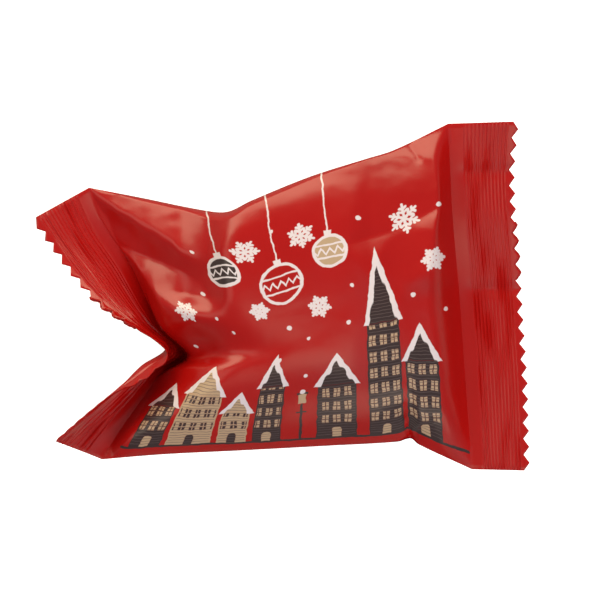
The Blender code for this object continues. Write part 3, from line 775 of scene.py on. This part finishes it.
# %% Street lamps, ground, baubles, flakes and dots
def lamp(mid, height):
    """A street lamp: pole and arms in slate, lantern in tan, snow on its cap."""
    pole = use(ink, stroke, Point=pen_place, From=(mid, STREET, 0), Way=(0, height, 0), Pen=0.26)
    arms = use(ink, stroke, Point=pen_place, From=(mid - 0.9, STREET + height * 0.8, 0), Way=(1.8, 0, 0), Pen=0.18)
    cap = use(ink, box, Point=pen_place, Centre=(mid, STREET + height + 2.9, 0), Half=(1.15, 0.24, 9))
    light = use(ink, box, Point=pen_place, Centre=(mid, STREET + height + 1.5, 0), Half=(0.8, 1.15, 9))
    top = use(ink, disc, Point=pen_place, Centre=(mid, STREET + height + 3.25, 0), Radius=0.55)
    return (lowest(ink, pole["Distance"], arms["Distance"], cap["Distance"]), light["Distance"],
            top["Distance"])


lamps = [lamp(50.4, 9.8)]
x, y = split(ink, pen_place)
ground = use(ink, stroke, Point=pen_place, From=(15.5, STREET - 0.3, 0), Way=(67.0, 0, 0), Pen=0.32)
hung = [use(ink, bauble, Point=pen_place, Centre=(a, b, 0), Radius=r) for a, b, r in BAUBLES]
fallen = [use(ink, flake, Point=pen_place, Centre=(a, b, 0), Size=r, Turn=t, Pen=0.27)["Distance"]
          for a, b, r, t in FLAKES]
dots = [use(ink, disc, Point=pen_place, Centre=(a, b, 0), Radius=r)["Distance"] for a, b, r in DOTS]
front_only = maths(ink, "SUBTRACT", y, 66.5)
threads = maths(ink, "MAXIMUM", lowest(ink, *[one["Lines"] for one in hung]), front_only)

white_ink = inked(lowest(ink, slate_row["Snow"], tan_row["Snow"], threads,
                         *[one[2] for one in lamps], *fallen, *dots))
slate_open, tan_open = inked(slate_row["Openings"]), inked(tan_row["Openings"])
slate_body, tan_body = inked(slate_row["Body"]), inked(tan_row["Body"])
slate_ball, tan_ball = inked(hung[0]["Ball"]), inked(hung[2]["Ball"])
lamp_dark = inked(lowest(ink, ground["Distance"], *[one[0] for one in lamps]))
lamp_light = inked(lowest(ink, *[one[1] for one in lamps]))
slate_ink = lowest(ink, 1.0, maths(ink, "ADD", less(slate_body, slate_open), maths(
    ink, "ADD", maths(ink, "MULTIPLY", tan_body, tan_open), maths(ink, "ADD", slate_ball, lamp_dark))))
tan_ink = lowest(ink, 1.0, maths(ink, "ADD", maths(ink, "MULTIPLY", slate_body, slate_open), maths(
    ink, "ADD", less(tan_body, tan_open), maths(ink, "ADD", tan_ball, lamp_light))))
feed(ink, out["White"], white_ink)
feed(ink, out["Slate"], slate_ink)
feed(ink, out["Tan"], tan_ink)
feed(ink, out["Light slate"], less(inked(lowest(ink, slate_row["Courses"], tan_row["Courses"])), white_ink))
print("print:", len(ink.nodes), "nodes,", len(FLAKES), "flakes,", len(DOTS), "dots")

# %% [markdown]
# ## The film's finish
# The film is a thin clear plastic over red ink: glossy, but with a faint unevenness that blurs
# its reflections a little.  A group gives that grain: how rough each place is, and a height for
# the bump.  It is used by the printed film and by the long seam on the back.

# %% Grain of the film
grain, given, out = new_group("film_grain", ["V Point", "Roughness"], ["Roughness", "Height", "Shade"])
coarse = grain.nodes.new("ShaderNodeTexNoise")
coarse.inputs["Scale"].default_value = 260.0
coarse.inputs["Detail"].default_value = 3.0
fine = grain.nodes.new("ShaderNodeTexNoise")
fine.inputs["Scale"].default_value = 1900.0
fine.inputs["Detail"].default_value = 2.0
broad = grain.nodes.new("ShaderNodeTexNoise")
broad.inputs["Scale"].default_value = 70.0
for node in (coarse, fine, broad):
    feed(grain, node.inputs["Vector"], given["Point"])
uneven = maths(grain, "MULTIPLY_ADD", broad.outputs["Fac"], 0.08, -0.04)
feed(grain, out["Roughness"], maths(grain, "ADD", given["Roughness"], uneven))
feed(grain, out["Height"], maths(grain, "MULTIPLY_ADD", fine.outputs["Fac"], 0.12, coarse.outputs["Fac"]))
feed(grain, out["Shade"], maths(grain, "MULTIPLY_ADD", broad.outputs["Fac"], 0.16, 0.92))


# %% Printed film
def mixed(tree, factor, below, above):
    node = tree.nodes.new("ShaderNodeMix")
    node.data_type = "RGBA"
    feed(tree, node.inputs["Factor"], factor)
    feed(tree, node.inputs["A"], below)
    feed(tree, node.inputs["B"], above)
    return node.outputs["Result"]


RED_INK = (0.47, 0.004, 0.003, 1.0)
SLATE_INK = (0.050, 0.030, 0.032, 1.0)
LIGHT_SLATE = (0.13, 0.085, 0.085, 1.0)
TAN_INK = (0.58, 0.40, 0.26, 1.0)
WHITE_INK = (0.88, 0.78, 0.84, 1.0)


def film_material(name, printed):
    """Red film, with or without the print."""
    material = bpy.data.materials.new(name)
    material.use_nodes = True
    tree = material.node_tree
    shader = tree.nodes["Principled BSDF"]
    shader.inputs["IOR"].default_value = 1.60
    spots = tree.nodes.new("ShaderNodeTexCoord")
    body_grain = use(tree, grain, Point=spots.outputs["Object"], Roughness=0.25)
    shade = tree.nodes.new("ShaderNodeVectorMath")
    shade.operation = "SCALE"
    shade.inputs["Vector"].default_value = RED_INK[:3]
    feed(tree, shade.inputs["Scale"], body_grain["Shade"])
    colour = shade.outputs["Vector"]
    if printed:
        flat = tree.nodes.new("ShaderNodeVectorMath")
        flat.operation = "SCALE"
        feed(tree, flat.inputs["Vector"], spots.outputs["UV"])
        flat.inputs["Scale"].default_value = 200.0
        inks = use(tree, ink, Point=flat.outputs["Vector"])
        colour = mixed(tree, inks["Slate"], colour, SLATE_INK)
        colour = mixed(tree, inks["Tan"], colour, TAN_INK)
        colour = mixed(tree, inks["Light slate"], colour, LIGHT_SLATE)
        colour = mixed(tree, inks["White"], colour, WHITE_INK)
    feed(tree, shader.inputs["Base Color"], colour)
    feed(tree, shader.inputs["Roughness"], body_grain["Roughness"])
    bump = tree.nodes.new("ShaderNodeBump")
    bump.inputs["Strength"].default_value = 0.5
    bump.inputs["Distance"].default_value = 0.00006
    feed(tree, bump.inputs["Height"], body_grain["Height"])
    feed(tree, shader.inputs["Normal"], bump.outputs["Normal"])
    return material


film.data.materials.clear()
film.data.materials.append(film_material("printed_film", True))

# %% [markdown]
# ## The long seam
# The edges of the film meet along the middle of the back, inside against inside, and are sealed
# to a ribbed strip that is laid flat against the pack and caught in both fins.  It is made as a
# flat grid that follows the back a little outside it, and then gets its thickness.

# %% Long seam on the back
SEAM_ROWS = (72, 94)          # rows of the back that the strip covers
SEAM_GAP, SEAM_THICK = 0.22, 0.22


def seam_places():
    """Middle of the strip: the back moved out along its own normal, with crimp ribs on it."""
    run, rise = np.gradient(back_mm, axis=0), np.gradient(back_mm, axis=1)
    out = np.cross(rise, run)
    out /= np.linalg.norm(out, axis=-1)[..., None]
    out *= np.where(out[..., 2:] > 0, -1.0, 1.0)
    rows = np.arange(SEAM_ROWS[0], SEAM_ROWS[1] + 1)
    rib = 0.045 * np.cos(math.pi * rows)[None, :, None]
    return back_mm[:, rows] + out[:, rows] * (SEAM_GAP + rib), out


clear_selection()
strip_mm, back_normal = seam_places()
strip_rows = SEAM_ROWS[1] - SEAM_ROWS[0]
bpy.ops.mesh.primitive_grid_add(x_subdivisions=COLUMNS, y_subdivisions=strip_rows, size=1.0)
seam = bpy.context.object
seam.name = "lap_seam"
spots = np.empty(len(seam.data.vertices) * 3)
seam.data.vertices.foreach_get("co", spots)
spots = spots.reshape(-1, 3)
i = np.rint((spots[:, 0] + 0.5) * COLUMNS).astype(int)
j = np.rint((spots[:, 1] + 0.5) * strip_rows).astype(int)
seam.data.vertices.foreach_set("co", ((strip_mm[i, j] + shift) * MM).ravel())
seam.data.update()
bpy.ops.object.modifier_add(type="SOLIDIFY")
seam.modifiers[0].thickness = SEAM_THICK * MM
seam.modifiers[0].offset = 0.0
bpy.ops.object.modifier_apply(modifier=seam.modifiers[0].name)
bpy.ops.object.mode_set(mode="EDIT")
bpy.ops.mesh.select_all(action="SELECT")
bpy.ops.mesh.normals_make_consistent(inside=False)
bpy.ops.object.mode_set(mode="OBJECT")
bpy.ops.object.shade_smooth_by_angle(angle=math.radians(50))
seam.data.materials.clear()
seam.data.materials.append(film_material("seam_film", False))
lowest_point = min(v.co.z for v in seam.data.vertices) / MM
print("long seam", len(seam.data.polygons), "faces, lowest point", round(lowest_point, 2), "mm")
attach(seam, "root")

# %% [markdown]
# ## Table and light
# The table is a plain white sheet.  One large soft light stands beyond the upper edge of the
# pack, a weaker one to the left, and the room gives the rest.

# %% Table
clear_selection()
bpy.ops.mesh.primitive_plane_add(size=3.0, location=(0, 0, -0.0002))
table = bpy.context.object
table.name = "table"
white = bpy.data.materials.new("table_white")
white.use_nodes = True
nodes, links = white.node_tree.nodes, white.node_tree.links
white_shader = nodes["Principled BSDF"]
place = nodes.new("ShaderNodeTexCoord")
away = nodes.new("ShaderNodeVectorMath")
away.operation = "LENGTH"
fade = nodes.new("ShaderNodeMapRange")
fade.interpolation_type = "SMOOTHSTEP"
fade.inputs["From Min"].default_value = 0.10
fade.inputs["From Max"].default_value = 0.45
fade.inputs["To Min"].default_value = 1.0
fade.inputs["To Max"].default_value = 0.0
colour = nodes.new("ShaderNodeMix")
colour.data_type = "RGBA"
colour.inputs["A"].default_value = (0.30, 0.30, 0.30, 1)
colour.inputs["B"].default_value = (0.90, 0.90, 0.90, 1)
glow = nodes.new("ShaderNodeMix")
glow.data_type = "RGBA"
glow.inputs["A"].default_value = (0, 0, 0, 1)
glow.inputs["B"].default_value = (1, 1, 1, 1)
links.new(place.outputs["Object"], away.inputs[0])
links.new(away.outputs["Value"], fade.inputs["Value"])
seen = nodes.new("ShaderNodeLightPath")
both = nodes.new("ShaderNodeMath")
both.operation = "MULTIPLY"
links.new(fade.outputs["Result"], both.inputs[0])
links.new(seen.outputs["Is Camera Ray"], both.inputs[1])
links.new(both.outputs[0], colour.inputs["Factor"])
links.new(both.outputs[0], glow.inputs["Factor"])
links.new(colour.outputs["Result"], white_shader.inputs["Base Color"])
links.new(glow.outputs["Result"], white_shader.inputs["Emission Color"])
white_shader.inputs["Roughness"].default_value = 0.8
white_shader.inputs["Emission Strength"].default_value = 0.9
table.data.materials.append(white)


# %% Lights
def soft_light(name, place, aim, size, radiance, tint=(1.0, 1.0, 1.0)):
    """A soft box with the same brightness wherever it stands."""
    bpy.ops.object.light_add(type="AREA", location=place)
    lamp = bpy.context.object
    lamp.name = name
    lamp.data.shape = "RECTANGLE"
    lamp.data.size, lamp.data.size_y = size
    lamp.data.color = tint
    lamp.data.energy = radiance * math.pi * size[0] * size[1]
    way = np.array(aim, float) - np.array(place, float)
    flat = math.hypot(way[0], way[1])
    lamp.rotation_euler = (math.atan2(flat, -way[2]), 0.0, math.atan2(way[1], way[0]) - math.pi / 2)
    return lamp


soft_light("far_light", (-0.16, 0.80, 0.40), (0, 0, 0.02), (1.8, 0.62), 3.2, (1.0, 0.90, 0.62))
soft_light("left_light", (-0.56, 0.05, 0.52), (0, 0, 0.02), (0.34, 0.60), 0.95, (1.0, 0.88, 0.70))
soft_light("near_light", (0.0, -0.30, 0.92), (0, 0, 0.02), (0.40, 0.34), 1.2, (1.0, 0.80, 0.58))
soft_light("low_light", (0.30, -0.74, 0.36), (0, 0, 0.02), (0.62, 0.26), 1.1, (1.0, 0.84, 0.66))
fill = soft_light("fill_light", (0.40, -0.40, 0.75), (0, 0, 0.02), (0.9, 0.9), 1.9)
fill.visible_glossy = False
room = bpy.data.worlds.new("room")
bpy.context.scene.world = room
room.use_nodes = True
room.node_tree.nodes["Background"].inputs["Color"].default_value = (1, 1, 1, 1)
room.node_tree.nodes["Background"].inputs["Strength"].default_value = 0.15
bpy.context.scene.view_settings.view_transform = "Standard"
